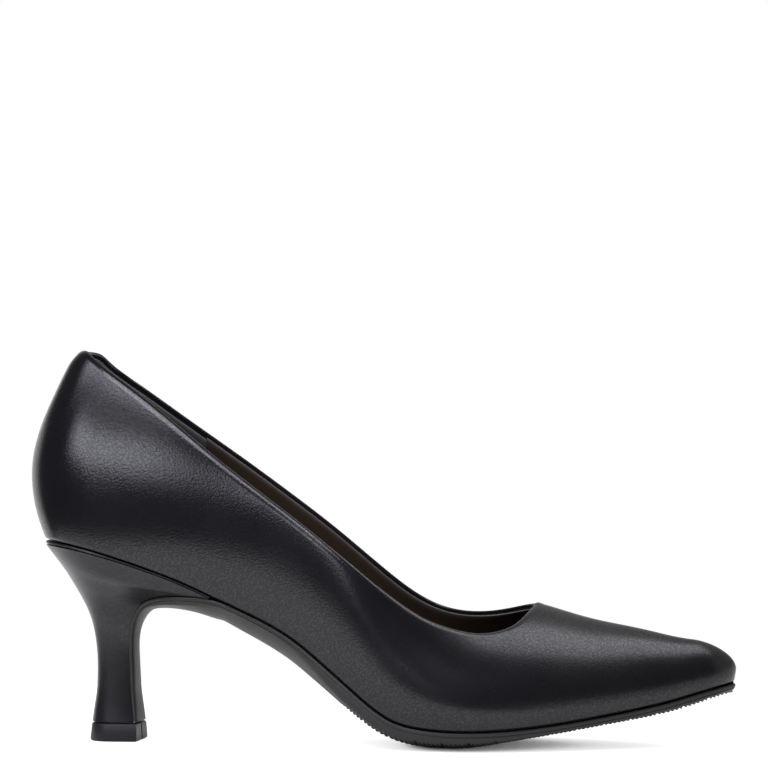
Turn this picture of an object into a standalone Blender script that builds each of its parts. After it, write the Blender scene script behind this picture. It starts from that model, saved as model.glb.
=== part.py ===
# Women's pointed-toe court shoe, right foot, standing on its heel tip and forefoot.
# Sizes below are millimetres in the frame of the last: x runs from the heel curve to the toe tip,
# y is negative on the outer (lateral) side and z is the height above the floor.
import math

import bmesh
import bpy
import numpy as np
from mathutils import Vector

MM = 0.001
OBJECT_NAME = "dress_shoe"

LENGTH = 249.7          # heel curve to the sole's toe tip, about EU 38
THROAT = 181.0          # where the topline crosses the ridge of the vamp
VAMP_START = 145.0      # from here the rows of a rib bend towards the throat
ORIGIN_X = 125.7        # middle of the outline, put over the frame's origin
ORIGIN_Y = -1.22
HEEL_ROUND = 26.0       # length of the rounded end of the plan at the heel
TOE_ROUND = 8.0         # and at the toe
NOSE = 4.3              # height of the blunt front of the toe
NOSE_ROUND = 14.5       # length over which the ridge falls to it
NOSE_SWELL = 1.0        # how far the nose stands out over the sole
LEAN_END = 75.0         # the lean of the heel curve fades out here
WALL = 1.8              # leather, stiffener and lining together
GAP = 0.3               # between pieces that meet

INSOLE_THICK = 2.0
LIP = 0.4               # how far the sole lip stands out from the feather edge
LIP_HIGH = 1.2
STEP_IN = 0.4           # step under the lip
WALL_IN = 1.0           # taper of the sole's side
WING_END = 69.0         # the heel's wings and the rand end here
FLAP_END = 75.0         # the sole leaves the feather line here
RAND_BACK = 1.5         # rand thickness at the heel curve
RAND_FRONT = 0.35       # and at the tips of the wings

QUARTER_STATIONS = 30
VAMP_STATIONS = 20
RIB_ROWS = 12
ROW_SPREAD = 0.75       # keeps the upper rows of a rib apart
SOLE_STATIONS = 40
HEEL_STEPS = 16
CROWN_STEPS = 6

# Height of the feather edge, where upper and sole meet.
SEAT_COLUMNS = ("x", "seat")
SEAT = (
    (0, 72.2), (20, 69.4), (40, 63.7), (60, 56.2), (75, 49.3), (90, 42.2), (100, 36.2), (110, 28.4),
    (118, 21.9), (126, 15.5), (134, 10.5), (144, 7.9), (158, 7.0), (172, 7.5), (190, 9.4),
    (210, 12.7), (230, 16.9), (242, 20.3), (250, 22.3),
)

# Sections across the last. lateral and medial: half width at the feather edge. flare: how far the wall
# swells out above it. rise: height of that swell as a share of the crest. shoulder: how broad the
# section is under its crest. crest: height of the whole section above the feather edge (behind the
# throat that is the open cone of the last). ridge: sideways place of the crest.
SECTION_COLUMNS = (
    "x", "lateral", "medial", "flare_lateral", "flare_medial", "rise", "shoulder", "crest", "ridge",
)
SECTIONS = (
    (0, 23.0, 23.0, 5.6, 5.6, 0.33, 18.0, 92.0, 0.0),
    (25, 24.3, 24.3, 5.6, 5.6, 0.33, 19.0, 89.5, 0.0),
    (50, 23.8, 23.2, 7.8, 8.4, 0.33, 23.0, 85.5, 0.0),
    (75, 22.6, 20.4, 9.0, 11.2, 0.33, 28.8, 80.5, 0.5),
    (100, 24.6, 19.8, 8.0, 11.4, 0.315, 36.0, 78.5, 1.2),
    (120, 30.4, 23.4, 7.4, 11.4, 0.31, 40.0, 75.0, 2.2),
    (140, 35.8, 29.6, 9.2, 11.5, 0.34, 31.0, 62.0, 3.4),
    (160, 37.8, 34.4, 11.3, 11.5, 0.35, 21.0, 48.0, 4.0),
    (180, 34.4, 33.8, 10.5, 10.5, 0.35, 16.5, 41.5, 4.0),
    (200, 27.2, 28.0, 8.5, 8.5, 0.36, 13.0, 33.2, 3.0),
    (220, 18.8, 19.8, 6.0, 6.0, 0.38, 9.5, 25.5, 2.0),
    (235, 12.2, 13.0, 4.2, 4.2, 0.40, 6.8, 18.8, 1.0),
    (250, 5.6, 5.6, 2.5, 2.5, 0.42, 4.0, 13.8, 0.0),
)

# Height of the topline on each side.
TOPLINE_COLUMNS = ("x", "lateral", "medial")
TOPLINE = (
    (0, 139.3, 139.3), (5, 138.9, 138.9), (14, 136.2, 135.4), (30, 128.9, 127.7), (50, 116.6, 115.7),
    (70, 101.2, 102.1), (90, 86.0, 87.2), (105, 74.7, 75.2), (120, 63.1, 62.5), (132, 54.1, 53.7),
    (144, 46.3, 47.9), (155, 42.0, 46.0), (164, 40.4, 46.4), (171, 41.3, 47.6), (177, 44.6, 48.9),
    (181, 49.6, 49.6),
)

# The heel curve: how far each height above the feather edge lies in front of the rearmost point.
BACK_COLUMNS = ("high", "lean")
BACK = (
    (0, 6.0), (5.5, 3.9), (11, 2.2), (17, 1.1), (23, 0.7), (31, 1.4), (37, 2.9), (43, 5.0), (49, 7.6),
    (55, 10.4), (60, 12.9), (64, 15.4), (68, 19.4), (95, 44.6),
)

# Sole: thickness at its side and the crown of its underside.
SOLE_COLUMNS = ("x", "edge", "crown")
SOLE = (
    (60, 2.6, 3.4), (75, 2.0, 5.5), (90, 2.2, 6.2), (105, 2.9, 5.6), (120, 4.4, 4.0), (138, 4.4, 3.8),
    (158, 4.0, 3.4), (180, 3.2, 1.4), (205, 2.8, 0.9), (235, 2.9, 0.8), (250, 2.2, 0.6),
)

# Heel sections from the seat down: the breast end of each, its half width, the thickness and the crown of
# the flap in front of it, the back end of each, and its widest half width.
HEEL_COLUMNS = ("front_x", "front_z", "front_half", "flap", "crown", "back_x", "back_z", "wide")
HEEL = (
    (69.0, 51.1, 21.6, 2.4, 5.2, 6.4, 69.0, 24.8),
    (60.0, 51.8, 20.0, 2.7, 3.2, 9.6, 65.2, 21.8),
    (51.0, 51.6, 16.9, 2.7, 1.8, 13.2, 60.4, 18.4),
    (45.7, 50.5, 13.7, 2.5, 1.2, 15.9, 56.0, 15.2),
    (42.2, 48.7, 11.0, 2.2, 0.8, 18.1, 52.2, 12.3),
    (39.4, 45.6, 8.4, 1.9, 0.5, 20.5, 47.6, 9.6),
    (37.6, 41.9, 6.5, 1.9, 0.4, 22.5, 42.4, 7.7),
    (36.7, 36.7, 5.5, 1.8, 0.4, 23.8, 36.4, 6.8),
    (36.7, 30.0, 5.3, 1.8, 0.4, 24.5, 29.9, 6.5),
    (37.1, 23.5, 5.5, 1.7, 0.4, 24.6, 23.5, 6.6),
    (37.5, 17.5, 6.0, 1.6, 0.4, 24.3, 17.5, 7.0),
    (38.2, 12.0, 6.7, 1.5, 0.4, 23.5, 12.0, 7.6),
    (38.9, 6.9, 7.6, 1.3, 0.4, 22.8, 6.9, 8.3),
)
HEEL_WIDEST = 0.45      # where along a heel section it is widest

LIFT_COLUMNS = ("z", "back_x", "front_x", "front_half", "wide")
LIFT = (
    (6.4, 22.7, 40.3, 8.6, 8.9),
    (0.6, 22.1, 40.6, 9.2, 9.5),
    (0.0, 22.6, 40.2, 8.8, 9.1),
)


# Natural cubic spline through one column of a table.
def track(table, columns, name):
    xs = np.array([row[0] for row in table], float)
    ys = np.array([row[columns.index(name)] for row in table], float)
    step = np.diff(xs)
    count = len(xs)
    matrix = np.eye(count)
    right = np.zeros(count)
    for i in range(1, count - 1):
        matrix[i, i - 1] = step[i - 1]
        matrix[i, i] = 2 * (step[i - 1] + step[i])
        matrix[i, i + 1] = step[i]
        right[i] = 6 * ((ys[i + 1] - ys[i]) / step[i] - (ys[i] - ys[i - 1]) / step[i - 1])
    bend = np.linalg.solve(matrix, right)

    def at(x):
        x = min(max(x, xs[0]), xs[-1])
        i = min(int(np.searchsorted(xs, x, "right")) - 1, count - 2)
        h = step[i]
        a = (xs[i + 1] - x) / h
        b = (x - xs[i]) / h
        curve = (a ** 3 - a) * bend[i] + (b ** 3 - b) * bend[i + 1]
        return float(a * ys[i] + b * ys[i + 1] + curve * h * h / 6)

    return at


seat = track(SEAT, SEAT_COLUMNS, "seat")
section = {name: track(SECTIONS, SECTION_COLUMNS, name) for name in SECTION_COLUMNS[1:]}
topline = {name: track(TOPLINE, TOPLINE_COLUMNS, name) for name in TOPLINE_COLUMNS[1:]}
lean = track(BACK, BACK_COLUMNS, "lean")
sole_edge = track(SOLE, SOLE_COLUMNS, "edge")
sole_crown = track(SOLE, SOLE_COLUMNS, "crown")
SIDES = {"lateral": -1, "medial": 1}


# Quarter of an ellipse: 0 at the end of the plan, 1 from its length on.
def rounded(distance, length):
    rest = max(0.0, 1 - distance / length)
    return math.sqrt(max(0.0, 1 - rest * rest))


def end_round(station):
    return rounded(station, HEEL_ROUND) * rounded(LENGTH - station, TOE_ROUND)


def lean_share(station):
    return max(0.0, 1 - station / LEAN_END) ** 2


def crest_height(station):
    return NOSE + (section["crest"](station) - NOSE) * rounded(LENGTH - station, NOSE_ROUND)


# The nose swells forward above the feather edge.
def nose_swell(station, high):
    near = max(0.0, 1 - (LENGTH - station) / NOSE_ROUND)
    return NOSE_SWELL * near * (1 - max(0.0, 1 - high / (1.6 * NOSE)) ** 2)


# A point of the last's surface: girth is 0 at the feather edge and 1 at the crest.
def last_point(station, side, girth):
    sign = SIDES[side]
    high = crest_height(station)
    half = section[side](station)
    ridge = section["ridge"](station) * sign
    across = (half, half + section["flare_" + side](station), ridge + section["shoulder"](station), ridge)
    upward = (0.0, section["rise"](station) * high, high, high)
    r = 1 - girth
    weights = (r ** 3, 3 * r * r * girth, 3 * r * girth * girth, girth ** 3)
    y = sum(w * v for w, v in zip(weights, across)) * end_round(station)
    z = sum(w * v for w, v in zip(weights, upward))
    x = station + lean(z) * lean_share(station) + nose_swell(station, z)
    foot = station + lean(0) * lean_share(station)
    return Vector((x, sign * y, seat(foot) + z))


# Girth at which the wall of a station reaches the topline.
def topline_girth(station, side):
    if station >= THROAT:
        return 1.0
    goal = topline[side](station)
    low, high = 0.0, 1.0
    for _ in range(40):
        middle = (low + high) / 2
        if last_point(station, side, middle).z < goal:
            low = middle
        else:
            high = middle
    return low


# Stations from start to end, closer together at the ends named.
def spaced(start, end, count, close="both"):
    turns = [i / count for i in range(count + 1)]
    if close == "both":
        shares = [(1 - math.cos(math.pi * t)) / 2 for t in turns]
    elif close == "start":
        shares = [1 - math.cos(math.pi / 2 * t) for t in turns]
    else:
        shares = [math.sin(math.pi / 2 * t) for t in turns]
    return [start + (end - start) * share for share in shares]


# Share of the wall's girth for one row of a rib; near the throat the lower rows keep their places.
def row_girth(station, side, share):
    near = min(1.0, max(0.0, (station - VAMP_START) / (THROAT - VAMP_START)))
    cut = 1 - topline_girth(station, side)
    power = 1 + 2 * near * near * (3 - 2 * near)
    if cut > 0:
        power = max(1.0, min(power, ROW_SPREAD / cut))
    return share - cut * share ** power


def feather(station, side):
    return last_point(station, side, 0.0)


# Pairs of lateral and medial points along the feather edge, moved out by grow.
def feather_pairs(stations, grow):
    sides = {side: [feather(s, side) for s in stations] for side in SIDES}
    moved = {}
    for side, sign in SIDES.items():
        line = sides[side]
        other = sides["medial" if side == "lateral" else "lateral"]
        before = other[1] if stations[0] == 0 else line[0]
        after = other[-2] if stations[-1] == LENGTH else line[-1]
        ring = [before] + line + [after]
        moved[side] = []
        for i, point in enumerate(line):
            along = (ring[i + 2] - ring[i]).to_2d().normalized()
            out = Vector((-along.y, along.x)) * sign
            moved[side].append(Vector((point.x + out.x * grow, point.y + out.y * grow, 0.0)))
    return list(zip(moved["lateral"], moved["medial"]))


def at_height(pairs, height):
    return [tuple(Vector((p.x, p.y, height(p.x))) for p in pair) for pair in pairs]


def place(point):
    return Vector(((point.x - ORIGIN_X) * MM, (point.y - ORIGIN_Y) * MM, point.z * MM))


def material_for(name, colour, roughness):
    material = bpy.data.materials.new(name)
    material.use_nodes = True
    shader = material.node_tree.nodes["Principled BSDF"]
    shader.inputs["Base Color"].default_value = (*colour, 1.0)
    shader.inputs["Roughness"].default_value = roughness
    return material


def add_object(name, mesh_data, colour, roughness):
    mesh = bpy.data.meshes.new(name)
    mesh_data.to_mesh(mesh)
    mesh_data.free()
    made = bpy.data.objects.new(name, mesh)
    mesh.materials.append(material_for(name, colour, roughness))
    parts.objects.link(made)
    return made


# Closed solid from rows of lateral and medial pairs, first row on top. Each cap is a strip of faces
# from side to side; lower_inner gives the points of the last cap between the two sides.
def solid_from_rows(name, rows, colour, roughness, lower_inner=None):
    work = bmesh.new()
    count = len(rows[0])
    grid = [[[work.verts.new(place(p)) for p in pair] for pair in row] for row in rows]
    inner = [[] for _ in range(count)]
    if lower_inner:
        inner = [[work.verts.new(place(p)) for p in points] for points in lower_inner]
    for upper_row, lower_row in zip(grid, grid[1:]):
        for i in range(count - 1):
            for side in (0, 1):
                above = (upper_row[i][side], upper_row[i + 1][side])
                below = (lower_row[i + 1][side], lower_row[i][side])
                work.faces.new(above + below)
        for end in (0, count - 1):
            work.faces.new((upper_row[end][0], upper_row[end][1], lower_row[end][1], lower_row[end][0]))
    top_strips = [list(pair) for pair in grid[0]]
    low_strips = [[pair[0]] + inner[i] + [pair[1]] for i, pair in enumerate(grid[-1])]
    for strips in (top_strips, low_strips):
        for first, second in zip(strips, strips[1:]):
            for j in range(len(first) - 1):
                work.faces.new((first[j], first[j + 1], second[j + 1], second[j]))
    for end in (0, count - 1):
        if inner[end]:
            work.faces.new(low_strips[end])
    bmesh.ops.remove_doubles(work, verts=work.verts, dist=1e-6)
    bmesh.ops.dissolve_degenerate(work, dist=1e-7, edges=work.edges)
    bmesh.ops.recalc_face_normals(work, faces=work.faces)
    return add_object(name, work, colour, roughness)


def make_upper():
    stations = spaced(0, THROAT, QUARTER_STATIONS) + spaced(THROAT, LENGTH, VAMP_STATIONS)[1:]
    work = bmesh.new()
    for side in SIDES:
        ribs = []
        for station in stations:
            girths = [row_girth(station, side, j / RIB_ROWS) for j in range(RIB_ROWS + 1)]
            ribs.append([work.verts.new(place(last_point(station, side, girth))) for girth in girths])
        for first, second in zip(ribs, ribs[1:]):
            for j in range(RIB_ROWS):
                work.faces.new((first[j], second[j], second[j + 1], first[j + 1]))
    bmesh.ops.remove_doubles(work, verts=work.verts, dist=1e-6)
    bmesh.ops.recalc_face_normals(work, faces=work.faces)
    upper = add_object("upper", work, (0.02, 0.02, 0.022), 0.45)
    shell = upper.modifiers.new("wall", "SOLIDIFY")
    shell.thickness = WALL * MM
    shell.offset = -1.0
    shell.use_even_offset = True
    shell.use_rim = True
    return upper


def make_insole():
    stations = spaced(0, LENGTH, 34)
    pairs = feather_pairs(stations, -(WALL + 0.7))
    rows = [at_height(pairs, lambda x: seat(x) + INSOLE_THICK), at_height(pairs, seat)]
    return solid_from_rows("insole", rows, (0.05, 0.035, 0.025), 0.7)


# The rand thins out quickly behind the heel curve and slowly along the wings.
def rand_thickness(x):
    rest = 1 - min(1.0, max(0.0, x / WING_END))
    return RAND_FRONT + (RAND_BACK - RAND_FRONT) * rest * rest


def seat_stations():
    return spaced(0, WING_END, HEEL_STEPS, "start")


def make_rand():
    pairs = feather_pairs(seat_stations(), 0.1)
    rows = [
        at_height(pairs, lambda x: seat(x) - GAP),
        at_height(pairs, lambda x: seat(x) - GAP - rand_thickness(x)),
    ]
    return solid_from_rows("heel_rand", rows, (0.015, 0.015, 0.015), 0.4)


# Half width of a heel section at a share of its length from the back.
def section_half(share, wide, front_half):
    if share < HEEL_WIDEST:
        return wide * math.sqrt(max(0.0, 1 - (1 - share / HEEL_WIDEST) ** 2))
    ease = (share - HEEL_WIDEST) / (1 - HEEL_WIDEST)
    return wide + (front_half - wide) * ease * ease


def section_pairs(back, front, wide, front_half):
    pairs = []
    for station in seat_stations():
        share = station / WING_END
        middle = back.lerp(front, share)
        half = section_half(share, wide, front_half)
        pairs.append((middle + Vector((0, -half, 0)), middle + Vector((0, half, 0))))
    return pairs


def heel_row(row):
    return dict(zip(HEEL_COLUMNS, row))


def make_heel():
    top = feather_pairs(seat_stations(), -0.1)
    rows = [at_height(top, lambda x: seat(x) - 2 * GAP - rand_thickness(x))]
    for row in map(heel_row, HEEL[1:]):
        back = Vector((row["back_x"], 0, row["back_z"]))
        front = Vector((row["front_x"], 0, row["front_z"]))
        rows.append(section_pairs(back, front, row["wide"], row["front_half"]))
    return solid_from_rows("heel", rows, (0.02, 0.02, 0.02), 0.4)


def make_lift():
    rows = []
    for row in LIFT:
        size = dict(zip(LIFT_COLUMNS, row))
        back = Vector((size["back_x"], 0, size["z"]))
        front = Vector((size["front_x"], 0, size["z"]))
        rows.append(section_pairs(back, front, size["wide"], size["front_half"]))
    return solid_from_rows("top_lift", rows, (0.02, 0.02, 0.02), 0.5)


# Line of the sole's inner face from the foot of the breast to the toe: place, half widths, edge, crown.
def sole_line():
    line = []
    for row in map(heel_row, reversed(HEEL)):
        half = row["front_half"]
        line.append((Vector((row["front_x"], 0, row["front_z"])), half, half, row["flap"], row["crown"]))
    for station in spaced(FLAP_END, LENGTH, SOLE_STATIONS, "end"):
        left = feather(station, "lateral")
        right = feather(station, "medial")
        line.append((Vector((left.x, 0, left.z)), -left.y, right.y, sole_edge(left.x), sole_crown(left.x)))
    return line


def make_outsole():
    line = sole_line()
    count = len(line)
    places = [entry[0] for entry in line]
    edges = {"lateral": [], "medial": []}
    downs = []
    for i in range(count):
        along = (places[min(i + 1, count - 1)] - places[max(i - 1, 0)]).normalized()
        downs.append(Vector((along.z, 0, -along.x)))
        edges["lateral"].append(places[i] + Vector((0, -line[i][1], 0)))
        edges["medial"].append(places[i] + Vector((0, line[i][2], 0)))
    outs = {}
    for side, sign in SIDES.items():
        own = edges[side]
        other = edges["medial" if side == "lateral" else "lateral"]
        ring = [own[0]] + own + [other[-2]]
        outs[side] = []
        for i in range(count):
            along = (ring[i + 2] - ring[i]).normalized()
            outs[side].append((along.cross(downs[i]) * sign).normalized())

    def level(grow, depth):
        row = []
        for i in range(count):
            pair = []
            for side in SIDES:
                point = edges[side][i] + outs[side][i] * grow + downs[i] * depth(i)
                point.z = max(0.0, point.z)
                pair.append(point)
            row.append(tuple(pair))
        return row

    def edge(i):
        return line[i][3]

    rows = [
        level(LIP, lambda i: GAP),
        level(LIP, lambda i: GAP + min(LIP_HIGH, 0.6 * edge(i))),
        level(LIP - STEP_IN, lambda i: GAP + min(LIP_HIGH, 0.6 * edge(i)) + 0.2),
        level(LIP - STEP_IN - WALL_IN, lambda i: GAP + edge(i)),
    ]
    inner = []
    for i in range(count):
        points = []
        for j in range(1, CROWN_STEPS):
            share = j / CROWN_STEPS
            point = rows[-1][i][0].lerp(rows[-1][i][1], share)
            point += downs[i] * line[i][4] * 4 * share * (1 - share)
            point.z = max(0.0, point.z)
            points.append(point)
        inner.append(points)
    return solid_from_rows("outsole", rows, (0.03, 0.025, 0.022), 0.5, inner)


for old in list(bpy.data.objects):
    bpy.data.objects.remove(old, do_unlink=True)
parts = bpy.data.collections.new(OBJECT_NAME)
bpy.context.scene.collection.children.link(parts)

make_upper()
make_insole()
make_outsole()
make_rand()
make_heel()
make_lift()
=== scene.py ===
import math

import bmesh
import bpy
import numpy as np
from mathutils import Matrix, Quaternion, Vector


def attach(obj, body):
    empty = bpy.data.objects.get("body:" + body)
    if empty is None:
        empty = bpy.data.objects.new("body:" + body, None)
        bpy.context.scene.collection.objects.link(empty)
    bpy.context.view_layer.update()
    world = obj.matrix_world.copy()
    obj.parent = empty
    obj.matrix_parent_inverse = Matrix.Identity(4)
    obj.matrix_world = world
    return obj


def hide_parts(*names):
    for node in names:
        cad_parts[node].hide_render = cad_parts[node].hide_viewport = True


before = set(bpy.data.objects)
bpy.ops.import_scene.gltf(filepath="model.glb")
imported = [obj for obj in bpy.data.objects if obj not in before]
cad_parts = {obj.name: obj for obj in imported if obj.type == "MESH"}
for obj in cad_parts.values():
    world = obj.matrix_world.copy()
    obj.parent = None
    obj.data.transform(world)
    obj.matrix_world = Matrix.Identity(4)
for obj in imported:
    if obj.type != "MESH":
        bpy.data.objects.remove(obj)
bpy.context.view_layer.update()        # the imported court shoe, right foot
mm = 0.001
print("frame loaded:", sorted(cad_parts))


def addObject(name, data):
    item = bpy.data.objects.new(name, data)
    bpy.context.scene.collection.objects.link(item)
    return item


# Camera where the photograph was taken from
cameraView = {
    "azimuth": 7.5,         # degrees round towards the toe
    "distance": 1.0,
    "height": 0.0895,
    "focalPx": 2832.0,
    "framePx": 768,
    "originPx": 378.65,     # column of the frame's origin
    "horizonPx": 488.3,     # row of the horizon
    "sensor": 36.0,
}


def addCamera():
    view = cameraView
    azimuth = math.radians(view["azimuth"])
    middle = view["framePx"] / 2
    data = bpy.data.cameras.new("camera")
    data.sensor_width = view["sensor"]
    data.lens = view["sensor"] * view["focalPx"] / view["framePx"]
    camera = addObject("camera", data)
    reach = view["distance"]
    camera.location = (math.sin(azimuth) * reach, -math.cos(azimuth) * reach, view["height"])
    yaw = azimuth - math.atan((middle - view["originPx"]) / view["focalPx"])
    pitch = math.atan((view["horizonPx"] - middle) / view["focalPx"])
    camera.rotation_euler = (math.pi / 2 + pitch, 0, yaw)
    bpy.context.scene.camera = camera


# The last, in millimetres: x from heel curve to toe, y negative on the outer side, z above the floor
last = {
    "length": 249.7,
    "throat": 181.0,        # where the topline crosses the ridge of the vamp
    "origin": (125.7, -1.22, 0.0),
    "heelRound": 26.0,      # length of the rounded end of the plan at the heel
    "toeRound": 8.0,
    "nose": 4.3,            # height of the blunt front of the toe
    "noseRound": 14.5,
    "noseSwell": 1.0,
    "noseBlend": 1.6,       # the swell is whole at so many heights of the nose
    "throatShift": 1.05,    # a line inside the topline meets the ridge further forward by this share
    "leanEnd": 75.0,        # the lean of the heel curve fades out here
    "wall": 1.8,
    "gap": 0.3,             # between pieces that meet
    "wingEnd": 69.0,        # the heel's wings and the rand end here
    "flapEnd": 75.0,        # the sole leaves the feather line here
}
sideSign = {"lateral": -1, "medial": 1}
otherSide = {"lateral": "medial", "medial": "lateral"}

# Height of the feather edge, where upper and sole meet
seatColumns = ("x", "seat")
seatRows = (
    (0, 72.2), (20, 69.4), (40, 63.7), (60, 56.2), (75, 49.3), (90, 42.2), (100, 36.2), (110, 28.4),
    (118, 21.9), (126, 15.5), (134, 10.5), (144, 7.9), (158, 7.0), (172, 7.5), (190, 9.4),
    (210, 12.7), (230, 16.9), (242, 20.3), (250, 22.3),
)

# Sections: half widths at the feather edge, swell of the wall, height of the swell, breadth under the
# crest, crest height above the feather edge, sideways place of the crest
sectionColumns = (
    "x", "lateral", "medial", "flareLateral", "flareMedial", "rise", "shoulder", "crest", "ridge",
)
sectionRows = (
    (0, 23.0, 23.0, 5.6, 5.6, 0.33, 18.0, 92.0, 0.0),
    (25, 24.3, 24.3, 5.6, 5.6, 0.33, 19.0, 89.5, 0.0),
    (50, 23.8, 23.2, 7.8, 8.4, 0.33, 23.0, 85.5, 0.0),
    (75, 22.6, 20.4, 9.0, 11.2, 0.33, 28.8, 80.5, 0.5),
    (100, 24.6, 19.8, 8.0, 11.4, 0.315, 36.0, 78.5, 1.2),
    (120, 30.4, 23.4, 7.4, 11.4, 0.31, 40.0, 75.0, 2.2),
    (140, 35.8, 29.6, 9.2, 11.5, 0.34, 31.0, 62.0, 3.4),
    (160, 37.8, 34.4, 11.3, 11.5, 0.35, 21.0, 48.0, 4.0),
    (180, 34.4, 33.8, 10.5, 10.5, 0.35, 16.5, 41.5, 4.0),
    (200, 27.2, 28.0, 8.5, 8.5, 0.36, 13.0, 33.2, 3.0),
    (220, 18.8, 19.8, 6.0, 6.0, 0.38, 9.5, 25.5, 2.0),
    (235, 12.2, 13.0, 4.2, 4.2, 0.40, 6.8, 18.8, 1.0),
    (250, 5.6, 5.6, 2.5, 2.5, 0.42, 4.0, 13.8, 0.0),
)

# Height of the topline on each side
toplineColumns = ("x", "lateral", "medial")
toplineRows = (
    (0, 139.3, 139.3), (5, 138.9, 138.9), (14, 136.2, 135.4), (30, 128.9, 127.7), (50, 116.6, 115.7),
    (70, 101.2, 102.1), (90, 86.0, 87.2), (105, 74.7, 75.2), (120, 63.1, 62.5), (132, 54.1, 53.7),
    (144, 46.3, 47.9), (155, 42.0, 46.0), (164, 40.4, 46.4), (171, 41.3, 47.6), (177, 44.6, 48.9),
    (181, 49.6, 49.6),
)

# Heel curve: how far each height above the feather edge lies in front of the rearmost point
backColumns = ("high", "lean")
backRows = (
    (0, 6.0), (5.5, 3.9), (11, 2.2), (17, 1.1), (23, 0.7), (31, 1.4), (37, 2.9), (43, 5.0), (49, 7.6),
    (55, 10.4), (60, 12.9), (64, 15.4), (68, 19.4), (95, 44.6),
)


# Natural cubic spline through rows of values
def naturalSpline(xs, ys):
    step = np.diff(xs)
    count = len(xs)
    matrix = np.eye(count)
    right = np.zeros((count, ys[0].size))
    flat = ys.reshape(count, -1)
    for i in range(1, count - 1):
        matrix[i, i - 1:i + 2] = step[i - 1], 2 * (step[i - 1] + step[i]), step[i]
        right[i] = 6 * ((flat[i + 1] - flat[i]) / step[i] - (flat[i] - flat[i - 1]) / step[i - 1])
    bend = np.linalg.solve(matrix, right).reshape(ys.shape)

    def at(x):
        x = np.clip(np.asarray(x, float), xs[0], xs[-1])
        i = np.clip(np.searchsorted(xs, x, "right") - 1, 0, count - 2)
        wide = x.shape + (1,) * (ys.ndim - 1)
        h = step[i].reshape(wide)
        a = ((xs[i + 1] - x) / step[i]).reshape(wide)
        b = 1 - a
        curve = (a ** 3 - a) * bend[i] + (b ** 3 - b) * bend[i + 1]
        return a * ys[i] + b * ys[i + 1] + curve * h * h / 6

    return at


def trackOf(rows, columns, name):
    xs = np.array([row[0] for row in rows], float)
    ys = np.array([row[columns.index(name)] for row in rows], float)
    return naturalSpline(xs, ys)


seat = trackOf(seatRows, seatColumns, "seat")
section = {name: trackOf(sectionRows, sectionColumns, name) for name in sectionColumns[1:]}
topline = {name: trackOf(toplineRows, toplineColumns, name) for name in toplineColumns[1:]}
lean = trackOf(backRows, backColumns, "lean")


def unit(vectors):
    return vectors / np.linalg.norm(vectors, axis=1, keepdims=True)


def smoothStep(value):
    value = np.clip(value, 0, 1)
    return value * value * (3 - 2 * value)


# Quarter of an ellipse: 0 at the end of the plan, 1 from its length on
def rounded(distance, length):
    rest = np.maximum(0, 1 - distance / length)
    return np.sqrt(np.maximum(0, 1 - rest * rest))


def endRound(station):
    return rounded(station, last["heelRound"]) * rounded(last["length"] - station, last["toeRound"])


def leanShare(station):
    return np.maximum(0, 1 - station / last["leanEnd"]) ** 2


def crestHeight(station):
    fall = rounded(last["length"] - station, last["noseRound"])
    return last["nose"] + (section["crest"](station) - last["nose"]) * fall


def noseSwell(station, high):
    near = np.maximum(0, 1 - (last["length"] - station) / last["noseRound"])
    rest = np.maximum(0, 1 - high / (last["noseBlend"] * last["nose"]))
    return last["noseSwell"] * near * (1 - rest ** 2)


# Points of the last's surface: girth is 0 at the feather edge and 1 at the crest
def lastSurface(station, side, girth):
    station, girth = np.broadcast_arrays(np.asarray(station, float), np.asarray(girth, float))
    sign = sideSign[side]
    high = crestHeight(station)
    half = section[side](station)
    ridge = section["ridge"](station) * sign
    swell = half + section["flare" + side.capitalize()](station)
    across = (half, swell, ridge + section["shoulder"](station), ridge)
    upward = (0 * high, section["rise"](station) * high, high, high)
    r = 1 - girth
    weights = (r ** 3, 3 * r * r * girth, 3 * r * girth * girth, girth ** 3)
    y = sum(w * v for w, v in zip(weights, across)) * endRound(station)
    z = sum(w * v for w, v in zip(weights, upward))
    x = station + lean(z) * leanShare(station) + noseSwell(station, z)
    foot = station + lean(0) * leanShare(station)
    return np.stack((x, sign * y, seat(foot) + z), -1)


def spaced(start, end, count, close="both"):
    turns = np.linspace(0, 1, count + 1)
    shares = {
        "both": (1 - np.cos(np.pi * turns)) / 2,
        "start": 1 - np.cos(np.pi / 2 * turns),
        "end": np.sin(np.pi / 2 * turns),
    }[close]
    return start + (end - start) * shares


# The wall laid flat: length round the shoe at mid height, and length up each rib
wall = {
    "girthSteps": 200,
    "roundSteps": 800,
    "toplineSteps": 300,
    "halvings": 40,
    "clear": 0.05,          # a line inside the topline stops this far before the throat
    "tiny": 1e-6,
    "closeStart": 145.0,    # from this station on, rows draw together under the topline
    "closeShare": 0.7,
    "closePower": 2,
}
girthSamples = np.linspace(0, 1, wall["girthSteps"] + 1)
roundStations = spaced(0, last["length"], wall["roundSteps"])


def runningLength(points):
    steps = np.linalg.norm(np.diff(points, axis=-2), axis=-1)
    start = np.zeros(steps.shape[:-1] + (1,))
    return np.concatenate((start, np.cumsum(steps, axis=-1)), axis=-1)


roundLengths = {side: runningLength(lastSurface(roundStations, side, 0.5)) for side in sideSign}


def ribLengths(stations, side):
    return runningLength(lastSurface(stations[:, None], side, girthSamples[None, :]))


def toplineGirth(stations, side):
    goal = topline[side](stations)
    low = np.zeros_like(stations)
    high = np.ones_like(stations)
    for _ in range(wall["halvings"]):
        middle = (low + high) / 2
        under = lastSurface(stations, side, middle)[:, 2] < goal
        low = np.where(under, middle, low)
        high = np.where(under, high, middle)
    return low


def throatStation(inset):
    return last["throat"] + last["throatShift"] * inset


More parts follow.
